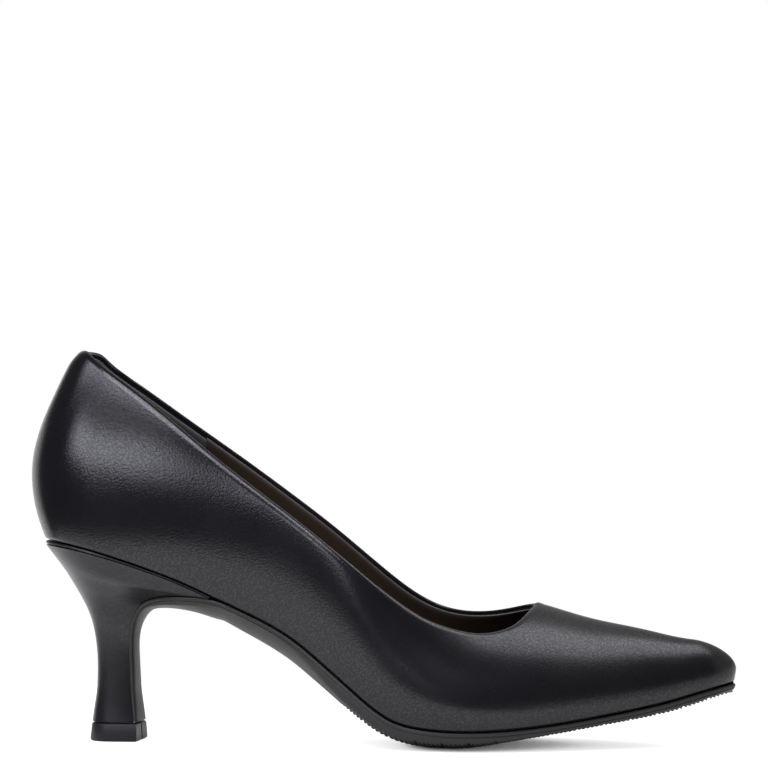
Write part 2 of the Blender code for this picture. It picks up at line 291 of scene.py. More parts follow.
# Length up each rib of a line that runs a fixed distance inside the topline
def insetLengths(stations, side, inset):
    line = spaced(0, last["throat"], wall["toplineSteps"])
    table = ribLengths(line, side)
    girth = toplineGirth(line, side)
    up = np.array([np.interp(g, girthSamples, row) for g, row in zip(girth, table)])
    along = np.interp(line, roundStations, roundLengths[side])
    rise = np.gradient(up)
    run = np.gradient(along)
    size = np.hypot(run, rise)
    along = along + inset * rise / size
    up = up - inset * run / size
    end = np.array([throatStation(inset)])
    endAlong = np.interp(end, roundStations, roundLengths[side])
    keep = along < endAlong[0] - wall["clear"]
    along = np.concatenate((np.maximum.accumulate(along[keep]), endAlong))
    up = np.concatenate((up[keep], ribLengths(end, side)[:, -1]))
    return np.interp(np.interp(stations, roundStations, roundLengths[side]), along, up)


# Grid of points on the wall from the feather edge to a line inside the topline, both sides
def wallGrid(inset, stations, rowShares):
    throat = throatStation(inset)
    start = wall["closeStart"]
    closed = stations > throat - wall["tiny"]
    shape = (2, len(stations), len(rowShares))
    points = np.zeros(shape + (3,))
    fromTop = np.zeros(shape)
    fromFeather = np.zeros(shape)
    for k, side in enumerate(sideSign):
        table = ribLengths(stations, side)
        full = table[:, -1]
        top = np.where(closed, full, insetLengths(stations, side, inset))
        near = smoothStep((stations - start) / (throat - start))
        spread = wall["closeShare"] * full / np.maximum(full - top, wall["tiny"])
        power = np.maximum(1, np.minimum(1 + wall["closePower"] * near, spread))[:, None]
        lengths = rowShares * full[:, None] + (top - full)[:, None] * rowShares ** power
        girth = np.array([np.interp(a, row, girthSamples) for a, row in zip(lengths, table)])
        points[k] = lastSurface(stations[:, None], side, girth)
        fromTop[k] = top[:, None] + inset - lengths
        fromFeather[k] = lengths
    return {"points": points, "fromTop": fromTop, "fromFeather": fromFeather, "stations": stations,
            "closed": closed}


# Outward normals of a wall grid; both sides share the back line, the toe line and the closed ridge
def wallNormals(grid):
    points = grid["points"]
    index = np.arange(points[..., 0].size).reshape(points.shape[:3])
    if grid["stations"][0] == 0:
        index[1, 0] = index[0, 0]
    if grid["stations"][-1] == last["length"]:
        index[1, -1] = index[0, -1]
    index[1, grid["closed"], -1] = index[0, grid["closed"], -1]
    total = np.zeros((points[..., 0].size, 3))
    for k, sign in enumerate(sideSign.values()):
        p = points[k]
        normal = np.cross(p[1:, 1:] - p[:-1, :-1], p[:-1, 1:] - p[1:, :-1]) * -sign
        size = np.linalg.norm(normal, axis=-1, keepdims=True)
        normal = normal / np.maximum(size, 1e-12) * np.sqrt(size)
        ids = index[k]
        for corner in (ids[1:, 1:], ids[:-1, :-1], ids[:-1, 1:], ids[1:, :-1]):
            np.add.at(total, corner, normal)
    total /= np.maximum(np.linalg.norm(total, axis=1, keepdims=True), 1e-12)
    return total[index]


# Mesh being put together: points in millimetres of the last, and faces
def newWork():
    return {"points": [], "faces": [], "marks": []}


def addPoints(work, points, mark=0.0):
    points = np.asarray(points, float)
    start = len(work["points"])
    flat = points.reshape(-1, 3)
    work["points"].extend(map(tuple, flat))
    marks = np.broadcast_to(mark, points.shape[:-1]).reshape(-1)
    work["marks"].extend(float(m) for m in marks)
    return np.arange(start, start + len(flat)).reshape(points.shape[:-1])


def addQuads(work, first, second):
    for a, b, c, d in zip(first[:-1], first[1:], second[1:], second[:-1]):
        work["faces"].append((int(a), int(b), int(c), int(d)))


def addGridFaces(work, grid):
    for first, second in zip(grid[:-1], grid[1:]):
        addQuads(work, first, second)


def closedLoop(ids):
    return np.concatenate((ids, ids[:1]))


# Skin between two faces of a wall grid, closed along its free edges
def addSheet(work, grid, outer, inner, mark=0.0):
    first = addPoints(work, outer, mark)
    second = addPoints(work, inner, mark)
    stations = grid["stations"]
    end = int(np.argmax(grid["closed"])) if grid["closed"].any() else len(stations) - 1
    for k in (0, 1):
        addGridFaces(work, first[k])
        addGridFaces(work, second[k])
        addQuads(work, first[k, :, 0], second[k, :, 0])
        addQuads(work, first[k, :end + 1, -1], second[k, :end + 1, -1])
        if stations[0] > 0:
            addQuads(work, first[k, 0], second[k, 0])
        if stations[-1] < last["length"]:
            addQuads(work, first[k, -1], second[k, -1])


# Skin through rings of points, with flat ends where asked
def addLoft(work, rings, mark=0.0, capStart=False, capEnd=False):
    ids = addPoints(work, rings, mark)
    for first, second in zip(ids[:-1], ids[1:]):
        addQuads(work, closedLoop(first), closedLoop(second))
    for ring, wanted in ((ids[0], capStart), (ids[-1], capEnd)):
        if wanted:
            work["faces"].append(tuple(int(i) for i in ring))
    return ids


# Lines along the feather edge in plan, moved out by grow
def featherLine(stations, grow):
    edges = {side: lastSurface(stations, side, 0.0)[:, :2] for side in sideSign}
    moved = {}
    for side, sign in sideSign.items():
        other = edges[otherSide[side]]
        line = edges[side]
        before = other[1:2] if stations[0] == 0 else line[:1]
        after = other[-2:-1] if stations[-1] == last["length"] else line[-1:]
        ring = np.concatenate((before, line, after))
        along = unit(ring[2:] - ring[:-2])
        moved[side] = line + np.stack((-along[:, 1], along[:, 0]), -1) * sign * grow
    return moved


# Both of those lines in space, at the height that belongs to each x
def featherSides(stations, grow, heightAt):
    lines = featherLine(stations, grow).values()
    return np.stack([np.column_stack((line, heightAt(line[:, 0]))) for line in lines])


mergeReach = 0.002 * mm     # points closer than this become one
thinReach = 0.0005 * mm     # and faces thinner than this go


# Makes the piece, puts it on the shoe's body, gives it its material and hides the solid it stands for
def addPiece(name, work, material, node=None, markName=None, sharp=None):
    mesh = bpy.data.meshes.new(name)
    points = (np.array(work["points"]) - last["origin"]) * mm
    mesh.from_pydata(points.tolist(), [], work["faces"])
    if markName:
        layer = mesh.attributes.new(markName, "FLOAT", "POINT")
        layer.data.foreach_set("value", work["marks"])
    build = bmesh.new()
    build.from_mesh(mesh)
    bmesh.ops.remove_doubles(build, verts=build.verts, dist=mergeReach)
    bmesh.ops.dissolve_degenerate(build, dist=thinReach, edges=build.edges)
    bmesh.ops.recalc_face_normals(build, faces=build.faces)
    build.to_mesh(mesh)
    build.free()
    mesh.shade_smooth()
    if sharp:
        mesh.set_sharp_from_angle(angle=math.radians(sharp))
    mesh.materials.append(material)
    piece = addObject(name, mesh)
    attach(piece, "root")
    if node:
        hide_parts(node)
    print(name, "made with", len(mesh.polygons), "faces")
    return piece


# Shader helpers
def newMaterial(name):
    material = bpy.data.materials.new(name)
    material.use_nodes = True
    tree = material.node_tree
    shader = tree.nodes["Principled BSDF"]
    return material, tree, shader


def addNode(tree, kind, inputs=None, **settings):
    node = tree.nodes.new(kind)
    for key, value in settings.items():
        setattr(node, key, value)
    for key, value in (inputs or {}).items():
        if isinstance(value, bpy.types.NodeSocket):
            tree.links.new(value, node.inputs[key])
        else:
            node.inputs[key].default_value = value
    return node


def noise(tree, place, scale, detail):
    return addNode(tree, "ShaderNodeTexNoise", {"Vector": place, "Scale": scale, "Detail": detail}).outputs


def mapRange(tree, value, source, goal=(0.0, 1.0), **settings):
    limits = {"From Min": source[0], "From Max": source[1], "To Min": goal[0], "To Max": goal[1]}
    return addNode(tree, "ShaderNodeMapRange", {"Value": value, **limits}, **settings).outputs["Result"]


def blend(tree, factor, first, second):
    inputs = {"Factor": factor, "A": first, "B": second}
    return addNode(tree, "ShaderNodeMix", inputs, data_type="FLOAT").outputs["Result"]


# The colour sockets of a mix node share their names with its others, so they go by number
def blendColour(tree, factor, first, second):
    inputs = {"Factor": factor, 6: first, 7: second}
    return addNode(tree, "ShaderNodeMix", inputs, data_type="RGBA").outputs[2]


# A texture group with the given inputs, a height for bump and a slow unevenness
def newGroup(name, values):
    group = bpy.data.node_groups.new(name, "ShaderNodeTree")
    number = "NodeSocketFloat"
    for label, value in values.items():
        socket = group.interface.new_socket(label, in_out="INPUT", socket_type=number)
        socket.default_value = value
    for label in ("Height", "Uneven"):
        group.interface.new_socket(label, in_out="OUTPUT", socket_type=number)
    start = group.nodes.new("NodeGroupInput")
    end = group.nodes.new("NodeGroupOutput")
    return group, start.outputs, end.inputs


grainPattern = {
    "bendScale": 260.0,     # noise that bends the cells
    "bend": 0.0006,
    "smooth": 0.7,
    "poresPerCell": 2.6,
    "slowScale": 55.0,
}
mattSlowScale = 90.0
unevenRange = (0.3, 0.7)    # of the slow unevenness, over which roughness changes


# Pebbled grain of finished leather: rounded cells with fine pores, and a slow unevenness
def makeGrainGroup():
    group, given, out = newGroup("leatherGrain", {"Cells": 1500.0, "Pores": 0.35})
    place = addNode(group, "ShaderNodeTexCoord").outputs["Object"]
    bent = noise(group, place, grainPattern["bendScale"], 2.0)["Color"]
    shift = addNode(group, "ShaderNodeVectorMath", {0: bent, 1: (grainPattern["bend"],) * 3},
                    operation="MULTIPLY")
    moved = addNode(group, "ShaderNodeVectorMath", {0: place, 1: shift.outputs[0]}, operation="ADD")
    cells = addNode(group, "ShaderNodeTexVoronoi", {"Vector": moved.outputs[0], "Scale": given["Cells"],
                                                     "Smoothness": grainPattern["smooth"]},
                    feature="SMOOTH_F1")
    poreScale = addNode(group, "ShaderNodeMath", {0: given["Cells"], 1: grainPattern["poresPerCell"]},
                        operation="MULTIPLY")
    pores = noise(group, place, poreScale.outputs[0], 2.0)["Fac"]
    dome = addNode(group, "ShaderNodeMath", {0: 1.0, 1: cells.outputs["Distance"]}, operation="SUBTRACT")
    group.links.new(blend(group, given["Pores"], dome.outputs[0], pores), out["Height"])
    group.links.new(noise(group, place, grainPattern["slowScale"], 4.0)["Fac"], out["Uneven"])
    return group


# Fine matt texture of moulded rubber and suede: noise only
def makeMattGroup():
    group, given, out = newGroup("mattTexture", {"Fineness": 2500.0})
    place = addNode(group, "ShaderNodeTexCoord").outputs["Object"]
    group.links.new(noise(group, place, given["Fineness"], 3.0)["Fac"], out["Height"])
    group.links.new(noise(group, place, mattSlowScale, 3.0)["Fac"], out["Uneven"])
    return group


grainGroup = makeGrainGroup()
mattGroup = makeMattGroup()


# A finish from a texture group: two colours and two roughnesses mixed by its slow unevenness
def makeFinish(name, group, values, finish):
    material, tree, shader = newMaterial(name)
    texture = addNode(tree, "ShaderNodeGroup", node_tree=group)
    for key, value in values.items():
        texture.inputs[key].default_value = value
    uneven = texture.outputs["Uneven"]
    colour = blendColour(tree, uneven, (*finish["dark"], 1), (*finish["light"], 1))
    tree.links.new(colour, shader.inputs["Base Color"])
    roughness = mapRange(tree, uneven, unevenRange, finish["rough"])
    if "dull" in finish:
        # Duller towards the toe
        start, end, extra = finish["dull"]
        place = addNode(tree, "ShaderNodeTexCoord").outputs["Object"]
        along = addNode(tree, "ShaderNodeSeparateXYZ", {0: place}).outputs["X"]
        dull = mapRange(tree, along, (start, end), (0.0, extra))
        roughness = addNode(tree, "ShaderNodeMath", {0: roughness, 1: dull}).outputs[0]
    tree.links.new(roughness, shader.inputs["Roughness"])
    bump = addNode(tree, "ShaderNodeBump", {"Height": texture.outputs["Height"], "Strength": 1.0,
                                             "Distance": finish["bump"] * mm})
    tree.links.new(bump.outputs["Normal"], shader.inputs["Normal"])
    shader.inputs["Specular IOR Level"].default_value = finish.get("specular", 0.5)
    if "polish" in finish:
        # The tops of the grain are polished, the hollows are not
        low, high, weight = finish["polish"]
        polish = mapRange(tree, texture.outputs["Height"], (low, high), (0.0, weight))
        tree.links.new(polish, shader.inputs["Coat Weight"])
        shader.inputs["Coat Roughness"].default_value = finish["rough"][0]
    return material, tree, shader, colour


# Upper: one hollow wall of black leather, its edge turned over round the topline
upper = {
    "stationsBack": 150,
    "stationsFront": 84,
    "rows": 48,
    "foldHigh": 2.6,        # height of the rolled edge outside
    "foldInside": 1.0,      # and inside
    "foldReach": 1.3,       # its top lies this far inside the outer face
    "foldSteps": 16,
    "tuck": 1.1,            # radius of the lower edge turning under
    "grain": {"Cells": 1450.0, "Pores": 0.4},
    "finish": {"dark": (0.0056, 0.0053, 0.0068), "light": (0.008, 0.0077, 0.0092), "rough": (0.15, 0.19),
               "bump": 0.05, "specular": 0.36, "polish": (0.5, 0.8, 0.7), "dull": (-0.06, 0.05, 0.11)},
}

# Soft troughs and ridges pressed in: stations, distance below the topline, width and depth
creaseColumns = ("side", "fromX", "toX", "fromDrop", "toDrop", "width", "depth")
creaseRows = (
    ("lateral", -12, 66, 17.0, 11.0, 6.5, 0.06),
    ("medial", -12, 66, 17.0, 11.0, 6.5, 0.15),
)
creaseFade = (3, 2)         # a crease comes up over a third of its length and fades over a half


def creaseDepth(grid):
    push = np.zeros(grid["fromTop"].shape)
    stations = grid["stations"][:, None]
    for row in creaseRows:
        crease = dict(zip(creaseColumns, row))
        k = list(sideSign).index(crease["side"])
        share = (stations - crease["fromX"]) / (crease["toX"] - crease["fromX"])
        drop = crease["fromDrop"] + (crease["toDrop"] - crease["fromDrop"]) * np.clip(share, 0, 1)
        fade = smoothStep(share * creaseFade[0]) * smoothStep((1 - share) * creaseFade[1])
        push[k] -= crease["depth"] * fade * np.exp(-((grid["fromTop"][k] - drop) / crease["width"]) ** 2)
    return push


def upperStations(inset):
    throat = throatStation(inset)
    back = spaced(0, throat, upper["stationsBack"])
    front = spaced(throat, last["length"], upper["stationsFront"])
    return np.concatenate((back, front[1:]))


def makeUpper(material):
    inset = upper["foldHigh"]
    grid = wallGrid(inset, upperStations(inset), spaced(0, 1, upper["rows"]))
    normals = wallNormals(grid)
    tuck = upper["tuck"]
    under = np.maximum(0, 1 - grid["fromFeather"] / tuck)
    push = creaseDepth(grid) - tuck * (1 - np.sqrt(np.maximum(0, 1 - under * under)))
    outside = grid["points"] + normals * push[..., None]
    inside = grid["points"] + normals * (creaseDepth(grid) - last["wall"])[..., None]
    work = newWork()
    outer = addPoints(work, outside)
    inner = addPoints(work, inside)
    for k in (0, 1):
        addGridFaces(work, outer[k])
        addGridFaces(work, inner[k])
        addQuads(work, outer[k, :, 0], inner[k, :, 0])
    # Rolled edge round the topline, lateral side from throat to heel and back along the medial side
    end = int(np.argmax(grid["closed"]))

    def onTopline(values):
        return np.concatenate((values[0, end:0:-1, -1], values[1, :end, -1]))

    edge = onTopline(outside)
    along = unit(np.roll(edge, -1, axis=0) - np.roll(edge, 1, axis=0))
    out = onTopline(normals)
    out = unit(out - along * np.sum(out * along, axis=1, keepdims=True))
    rise = np.cross(along, out)
    if rise[len(rise) // 2, 2] < 0:
        rise = -rise
    reach = upper["foldReach"]
    centre = edge - out * reach
    rings = [onTopline(outer)]
    for turn in np.linspace(0, np.pi, upper["foldSteps"] + 1)[1:]:
        high = upper["foldHigh"] * np.sin(turn)
        across = reach * np.cos(turn)
        if turn > np.pi / 2:
            high = inset - upper["foldInside"] + upper["foldInside"] * np.sin(turn)
            across = (last["wall"] - reach) * np.cos(turn)
        rings.append(addPoints(work, centre + out * across + rise * high))
    rings.append(onTopline(inner))
    for first, second in zip(rings, rings[1:]):
        addQuads(work, closedLoop(first), closedLoop(second))
    return addPiece("upper_leather", work, material, "upper")


addCamera()
leather = makeFinish("blackLeather", grainGroup, upper["grain"], upper["finish"])[0]
makeUpper(leather)


# Lining inside the wall: dark brown along the foot, a black grip round the heel
lining = {
    "inset": 1.3,           # its edge lies this far inside the topline
    "gripInset": 2.1,
    "clear": 0.05,          # off the leather's inner face
    "thick": 0.45,
    "gripEnd": 59.0,        # station where the grip stops and the brown lining starts
    "seamGap": 0.25,
    "stationsGrip": 50,
    "stationsBack": 90,
    "stationsFront": 50,
    "rows": 30,
    # colour of the painted highlight along the lining's top edge
    "edgeHighlight": (0.16, 0.145, 0.13),
    "edgeHighlightFade": 0.6,        # depth over which the painted highlight along the top edge fades
    "brownGrain": {"Fineness": 1800.0},
    "brown": {"dark": (0.017, 0.0105, 0.0055), "light": (0.026, 0.016, 0.0085), "rough": (0.7, 0.85),
              "bump": 0.03, "specular": 0.12},
    "blackGrain": {"Fineness": 2200.0},
    "black": {"dark": (0.014, 0.014, 0.015), "light": (0.022, 0.022, 0.023), "rough": (0.6, 0.72),
              "bump": 0.04, "specular": 0.35},
}


def makeLiningSheet(name, stations, inset, material):
    grid = wallGrid(inset, stations, spaced(0, 1, lining["rows"], "end"))
    normals = wallNormals(grid)
    depth = creaseDepth(grid) - last["wall"] - lining["clear"]
    outer = grid["points"] + normals * depth[..., None]
    inner = grid["points"] + normals * (depth - lining["thick"])[..., None]
    besideThroat = grid["stations"][:, None] < last["throat"]
    # Mask of the painted highlight: whole at the top edge, fading deeper inside the shoe
    edge = np.exp((inset - grid["fromTop"]) / lining["edgeHighlightFade"]) * besideThroat
    work = newWork()
    addSheet(work, grid, outer, inner, edge)
    return addPiece(name, work, material, markName="edge", sharp=50)


# A lining's finish with a painted highlight along its top edge that fades deeper in
def makeLiningWithEdgeHighlight(name, grain, finish):
    material, tree, shader, colour = makeFinish(name, mattGroup, grain, finish)
    mark = addNode(tree, "ShaderNodeAttribute", attribute_name="edge")
    # Painted highlight: the lining is painted paler along its top edge by the edge mask
    highlighted = blendColour(tree, mark.outputs["Fac"], colour, (*lining["edgeHighlight"], 1))
    tree.links.new(highlighted, shader.inputs["Base Color"])
    return material


def makeLining():
    brown = makeLiningWithEdgeHighlight("liningBrown", lining["brownGrain"], lining["brown"])
    black = makeLiningWithEdgeHighlight("gripBlack", lining["blackGrain"], lining["black"])
    throat = throatStation(lining["inset"])
    start = lining["gripEnd"] + lining["seamGap"]
    grip = spaced(0, lining["gripEnd"], lining["stationsGrip"], "start")
    back = spaced(start, throat, lining["stationsBack"], "end")
    front = spaced(throat, last["length"], lining["stationsFront"])
    makeLiningSheet("heel_grip", grip, lining["gripInset"], black)
    makeLiningSheet("lining", np.concatenate((back, front[1:])), lining["inset"], brown)


makeLining()


# Ring of a section: down the lateral side, across below, up the medial side, back across the top
def sectionRing(lateral, medial, low, top):
    return np.concatenate((lateral, low, medial[::-1], top))


def acrossPoints(start, end, count, bulge):
    shares = (np.arange(1, count) / count)[:, None]
    return start + (end - start) * shares + 4 * shares * (1 - shares) * bulge


# Sock: cover of the insole, its edge rounded and its middle slightly dished
sock = {
    "edge": 2.5,            # inside the feather edge
    "thick": 2.0,
    "edgeRound": 0.6,
    "edgePoints": 5,
    "dish": 0.7,
    "dishStart": 40.0,      # the dish is whole from here
    "dishFade": 60.0,       # fades over this length towards the toe
    "dishEnd": 20.0,        # and ends this far before it
    "stations": 110,
    "across": 14,
    "grain": {"Cells": 1300.0, "Pores": 0.5},
    "finish": {"dark": (0.032, 0.023, 0.016), "light": (0.045, 0.032, 0.022), "rough": (0.5, 0.6),
               "bump": 0.03, "specular": 0.4},
}


def makeSock():
    stations = spaced(0, last["length"], sock["stations"])
    levels = []
    radius = sock["edgeRound"]
    for turn in np.linspace(0, np.pi / 2, sock["edgePoints"]):
        levels.append((radius * (1 - math.sin(turn)), radius * (1 - math.cos(turn))))
    levels.append((0.0, sock["thick"]))
    rows = []
    for inset, drop in levels:
        rows.append(featherSides(stations, -sock["edge"] - inset, lambda x: seat(x) + sock["thick"] - drop))
    lateral, medial = np.stack(rows, 2)
    toToe = last["length"] - sock["dishEnd"] - stations
    dish = sock["dish"] * smoothStep(stations / sock["dishStart"]) * smoothStep(toToe / sock["dishFade"])
    rings = []
    for i in range(len(stations)):
        low = acrossPoints(lateral[i, -1], medial[i, -1], sock["across"], np.zeros(3))
        top = acrossPoints(medial[i, 0], lateral[i, 0], sock["across"], np.array((0, 0, -dish[i])))
        rings.append(sectionRing(lateral[i], medial[i], low, top))
    work = newWork()
    addLoft(work, np.array(rings))
    material = makeFinish("sockBrown", grainGroup, sock["grain"], sock["finish"])[0]
    return addPiece("sock_cover", work, material, "insole", sharp=50)


makeSock()


# Sole: lip, step, tapered side, crowned waist and a flap that turns down the front of the heel
sole = {
    "lip": 0.4,             # how far the lip stands out from the feather edge
    "lipHigh": 1.2,
    "stepIn": 0.4,
    "wallIn": 1.0,
    "across": 22,
    "treadStart": 119.0,    # station where the ribs of the forefoot start
    "ribPitch": 1.5,
    "ribDepth": 0.55,
    "ribHigh": 0.7,         # how far up the side the ribs show
    "channelEvery": 6,      # a deeper channel in every so many ribs
    "channelDepth": 1.0,
    "stepsPerRib": 6,
    "ribFade": 3,           # the tread comes up over so many ribs
    "toeFade": 4.0,         # and fades over this length at the toe
    "tipLength": 1.5,
    "tipSteps": 10,
    "lineSteps": 2000,
    "flapSteps": 90,
    "flapLead": (0.0, 3.0, 7.0, 12.0),  # places past the flap that guide its curve
    "grain": {"Fineness": 1500.0},
    "finish": {"dark": (0.012, 0.012, 0.013), "light": (0.017, 0.017, 0.017), "rough": (0.46, 0.56),
               "bump": 0.02, "specular": 0.42},
    "waistColour": (0.019, 0.0153, 0.0125),
    "waistFade": 16.0,      # length over which it gives way to the black of the tread
    "toeFill": 1.0,         # its upper face rises into the toe, so that no light shows under the upper
    "fillStart": 228.0,
    "fillLength": 10.0,
}

# Thickness at its side and crown of its underside
soleColumns = ("x", "edge", "crown")
soleRows = (
    (60, 2.6, 3.4), (75, 2.0, 5.5), (90, 2.2, 6.2), (105, 2.9, 5.6), (120, 4.4, 4.0), (138, 4.4, 3.8),
    (158, 4.0, 3.4), (180, 3.2, 1.4), (205, 2.8, 0.9), (235, 2.9, 0.8), (250, 2.2, 0.6),
)

# Heel sections from the seat down: breast end and its half width, thickness and crown of the flap,
# back end, widest half width
heelColumns = ("frontX", "frontZ", "frontHalf", "flap", "crown", "backX", "backZ", "wide")
heelRows = (
    (69.0, 51.1, 21.6, 2.4, 5.2, 6.4, 69.0, 24.8),
    (60.0, 51.8, 20.0, 2.7, 3.2, 9.6, 65.2, 21.8),
    (51.0, 51.6, 16.9, 2.7, 1.8, 13.2, 60.4, 18.4),
    (45.7, 50.5, 13.7, 2.5, 1.2, 15.9, 56.0, 15.2),
    (42.2, 48.7, 11.0, 2.2, 0.8, 18.1, 52.2, 12.3),
    (39.4, 45.6, 8.4, 1.9, 0.5, 20.5, 47.6, 9.6),
    (37.6, 41.9, 6.5, 1.9, 0.4, 22.5, 42.4, 7.7),
    (36.7, 36.7, 5.5, 1.8, 0.4, 23.8, 36.4, 6.8),
    (36.7, 30.0, 5.3, 1.8, 0.4, 24.5, 29.9, 6.5),
    (37.1, 23.5, 5.5, 1.7, 0.4, 24.6, 23.5, 6.6),
    (37.5, 17.5, 6.0, 1.6, 0.4, 24.3, 17.5, 7.0),
    (38.2, 12.0, 6.7, 1.5, 0.4, 23.5, 12.0, 7.6),
    (38.9, 6.9, 7.6, 1.3, 0.4, 22.8, 6.9, 8.3),
)
soleEdge = trackOf(soleRows, soleColumns, "edge")
soleCrown = trackOf(soleRows, soleColumns, "crown")


def heelColumn(name):
    return np.array([row[heelColumns.index(name)] for row in heelRows], float)


# Along the feather line: x, z, lateral half, medial half, edge and crown
def featherRows(stations):
    left = lastSurface(stations, "lateral", 0.0)
    right = lastSurface(stations, "medial", 0.0)
    x = left[:, 0]
    return np.stack((x, left[:, 2], -left[:, 1], right[:, 1], soleEdge(x), soleCrown(x)), -1)


# Stations of the sole in even steps of length, closer together at the tip of the toe
def soleStations():
    fine = np.linspace(last["flapEnd"], last["length"] - sole["tipLength"], sole["lineSteps"])
    length = runningLength(featherRows(fine)[:, :2])
    step = sole["ribPitch"] / sole["stepsPerRib"]
    even = np.interp(np.arange(0, length[-1], step), length, fine)
    return np.concatenate((even, spaced(even[-1], last["length"], sole["tipSteps"], "end")[1:]))


# The sole's inner face from the foot of the flap to the toe
def soleLine():
    names = ("frontX", "frontZ", "frontHalf", "frontHalf", "flap", "crown")
    flap = np.stack([heelColumn(name) for name in names], -1)[::-1]
    lead = featherRows(last["flapEnd"] + np.array(sole["flapLead"]))
    keys = np.concatenate((flap, lead))
    length = runningLength(keys[:, :2])
    turned = naturalSpline(length, keys)(np.linspace(0, length[len(flap)], sole["flapSteps"] + 1)[:-1])
    return np.concatenate((turned, featherRows(soleStations())))


# Depth of the ribs and channels cut in the forefoot at each place along the sole
def treadDepth(line):
    length = runningLength(line[:, :2])
    front = slice(sole["flapSteps"], None)
    start = np.interp(sole["treadStart"], line[front, 0], length[front])
    turns = (length - start) / sole["ribPitch"]
    count = np.floor(turns)
    ribs = sole["ribDepth"] * (0.5 - 0.5 * np.cos(2 * np.pi * turns))
    deep = sole["channelDepth"] * np.sin(np.pi * (turns - count)) * (count % sole["channelEvery"] == 0)
    ends = smoothStep(turns / sole["ribFade"]) * smoothStep((length[-1] - length) / sole["toeFade"])
    return np.where(turns > 0, np.maximum(ribs, deep) * ends, 0.0)


def makeSole():
    line = soleLine()
    count = len(line)
    x, z, halfLateral, halfMedial, edge, crown = line.T
    zero = np.zeros(count)
    places = np.stack((x, zero, z), -1)
    order = np.arange(count)
    along = unit(places[np.minimum(order + 1, count - 1)] - places[np.maximum(order - 1, 0)])
    down = np.stack((along[:, 2], zero, -along[:, 0]), -1)
    edges = {"lateral": np.stack((x, -halfLateral, z), -1), "medial": np.stack((x, halfMedial, z), -1)}
    gap = last["gap"]
    lip = sole["lip"]
    lipEnd = gap + np.minimum(sole["lipHigh"], 0.6 * edge)
    foot = gap + edge
    high = foot - lipEnd
    step = lip - sole["stepIn"]
    cut = treadDepth(line)
    # How far out, how far down and how much of the waist's colour
    levels = (
        (lip - 0.35, gap + zero, 0.0),
        (lip - 0.1, gap + 0.08 + zero, 0.0),
        (lip, gap + 0.3 + zero, 0.0),
        (lip, lipEnd - 0.25, 0.0),
        (lip - 0.12, lipEnd, 0.0),
        (step - 0.12, lipEnd + 0.1, 0.2),
        (step - 0.02, lipEnd + 0.25 * high, 0.4),
        (step - 0.2 * sole["wallIn"], lipEnd + 0.55 * high, 0.6),
        (step - 0.55 * sole["wallIn"], foot - np.minimum(sole["ribHigh"], 0.3 * high), 0.9),
        (step - sole["wallIn"], foot - cut, 1.0),
    )
    sides = {}
    for side, sign in sideSign.items():
        other = edges[otherSide[side]]
        ring = np.concatenate((edges[side][:1], edges[side], other[-2:-1]))
        out = unit(np.cross(ring[2:] - ring[:-2], down) * sign)
        rows = [edges[side] + out * grow + down * depth[:, None] for grow, depth, _ in levels]
        sides[side] = np.stack(rows, 1)
    waist = 1 - smoothStep((x - sole["treadStart"] + sole["waistFade"] / 2) / sole["waistFade"])
    levelMarks = np.array([mark for _, _, mark in levels])
    marks = np.concatenate((levelMarks, np.ones(sole["across"] - 1), levelMarks[::-1], (0.0,)))
    fill = sole["toeFill"] * smoothStep((x - sole["fillStart"]) / sole["fillLength"])
    rings = []
    for i in range(count):
        lateral = sides["lateral"][i]
        medial = sides["medial"][i]
        low = acrossPoints(lateral[-1], medial[-1], sole["across"], down[i] * crown[i])
        top = acrossPoints(medial[0], lateral[0], 2, down[i] * -fill[i])
        rings.append(sectionRing(lateral, medial, low, top))
    # Ribs stand on the floor and the cuts between them stay clear of it
    rings = np.array(rings)
    rings[..., 2] = np.maximum(cut[:, None], rings[..., 2])
    work = newWork()
    addLoft(work, rings, marks * waist[:, None], capStart=True)
    material, tree, shader, colour = makeFinish("soleBlack", mattGroup, sole["grain"], sole["finish"])
    mark = addNode(tree, "ShaderNodeAttribute", attribute_name="waist")
    warm = blendColour(tree, mark.outputs["Fac"], colour, (*sole["waistColour"], 1))
    tree.links.new(warm, shader.inputs["Base Color"])
    return addPiece("sole", work, material, "outsole", markName="waist", sharp=40)


makeSole()


# Rand: the black strip between upper and heel, with a bead along its middle
rand = {
    "back": 1.5,            # thickness at the heel curve
    "front": 0.35,          # and at the tips of the wings
    "groove": -0.35,        # the strip beside the bead lies in by this much
    "beadEnd": 28.0,        # the bead fades out by about here
    "beadHold": 1.2,        # over 1, so that it is whole at the back
    "stations": 90,
    "grain": {"Fineness": 1500.0},
    "finish": {"dark": (0.008, 0.008, 0.008), "light": (0.012, 0.012, 0.012), "rough": (0.34, 0.42),
               "bump": 0.01},
}

# Its outer face from the top: share of the thickness, and how far it stands out
randProfile = (
    (0.0, -0.7), (0.1, -0.35), (0.25, -0.3), (0.38, -0.05), (0.5, 0.1), (0.62, -0.05), (0.75, -0.3),
    (0.9, -0.35), (1.0, -0.7),
)


# Height at a share of the strip's thickness, counted from its top
def randHeight(x, share):
    rest = 1 - np.clip(x / last["wingEnd"], 0, 1)
    thickness = rand["front"] + (rand["back"] - rand["front"]) * rest * rest
    return seat(x) - last["gap"] - share * thickness


def makeRand():
    stations = spaced(0, last["wingEnd"], rand["stations"], "start")
    bead = smoothStep(rand["beadHold"] - stations / rand["beadEnd"])[:, None]
    rows = []
    for share, grow in randProfile:
        stand = np.minimum(grow, rand["groove"]) + max(0, grow - rand["groove"]) * bead
        rows.append(featherSides(stations, stand, lambda x: randHeight(x, share)))
    lateral, medial = np.stack(rows, 2)
    work = newWork()
    addLoft(work, np.concatenate((lateral, medial[:, ::-1]), axis=1), capEnd=True)
    material = makeFinish("randBlack", mattGroup, rand["grain"], rand["finish"])[0]
    return addPiece("rand", work, material, "heel_rand", sharp=60)


makeRand()


